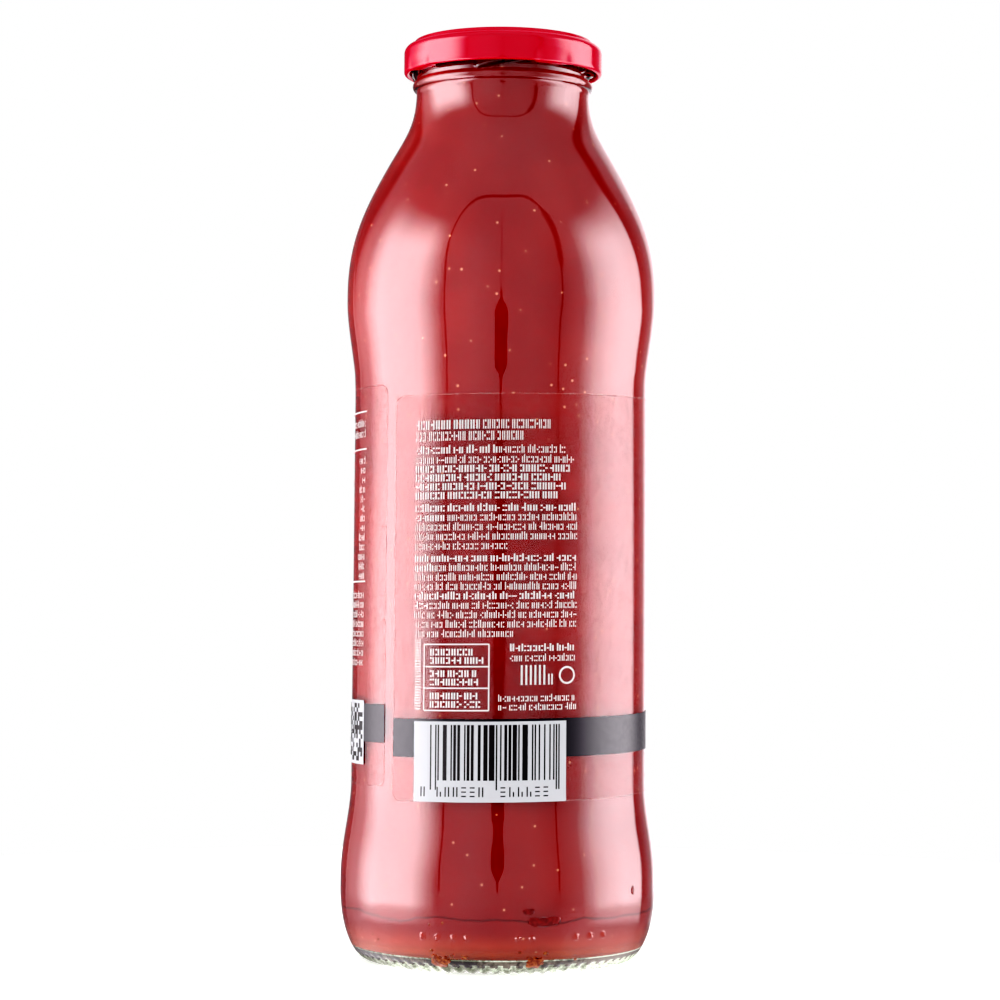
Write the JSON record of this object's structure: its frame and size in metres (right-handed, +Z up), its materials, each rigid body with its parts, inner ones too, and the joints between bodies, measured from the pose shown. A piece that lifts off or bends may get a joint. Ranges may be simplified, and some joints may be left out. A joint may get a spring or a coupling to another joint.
{
  "type": "passata bottle",
  "caption": "Clear glass bottle filled with smooth red passata, with a waisted body, a clear wrap-around film label and a red twist-off steel lid.",
  "frame": {"origin": "centre of the foot ring, on the surface that the bottle stands on", "axes": "+Z up along the bottle's axis, -Y towards the side that the label's print faces, +X to the right of that side"},
  "size_m": [0.078, 0.078, 0.2284],
  "materials": {
    "glass": "clear flint glass, smooth, faintly green at its thick edges",
    "passata": "smooth wet tomato pulp with fine specks, stands in as matte plastic",
    "lid": "glossy red lacquer on tinplate",
    "label": "clear film, slightly hazy, with white, grey and black print"
  },
  "bodies": {
    "root": {"glass_bottle": "glass", "passata": "passata", "lid": "lid", "label_film": "label"}
  },
  "joints": []
}
